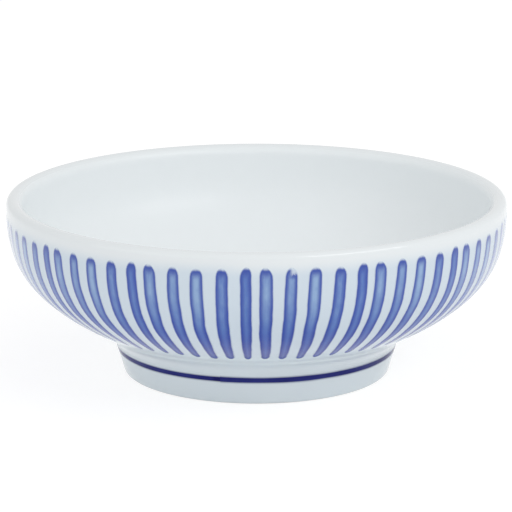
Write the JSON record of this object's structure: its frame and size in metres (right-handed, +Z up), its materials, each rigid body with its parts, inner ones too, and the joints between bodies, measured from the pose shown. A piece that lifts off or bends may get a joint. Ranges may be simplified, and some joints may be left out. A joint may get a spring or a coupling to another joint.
{
  "type": "shallow bowl",
  "caption": "Shallow white porcelain bowl with a thick rounded lip on a turned foot ring, painted outside with upright blue brush stripes and a dark blue line round the foot.",
  "frame": {"origin": "on the table, at the centre of the foot", "axes": "+Z up along the axis of the bowl; X and Y are alike, because the bowl is round"},
  "size_m": [0.155, 0.155, 0.0557],
  "materials": {
    "white_glaze": "clear gloss glaze over white porcelain, bare and matt on the standing edge of the foot",
    "cobalt_paint": "cobalt blue brushwork under clear gloss glaze"
  },
  "bodies": {
    "root": {"bowl_wall": "white_glaze", "luting_slip": "white_glaze", "foot_ring": "white_glaze", "foot_line": "cobalt_paint"}
  },
  "joints": []
}
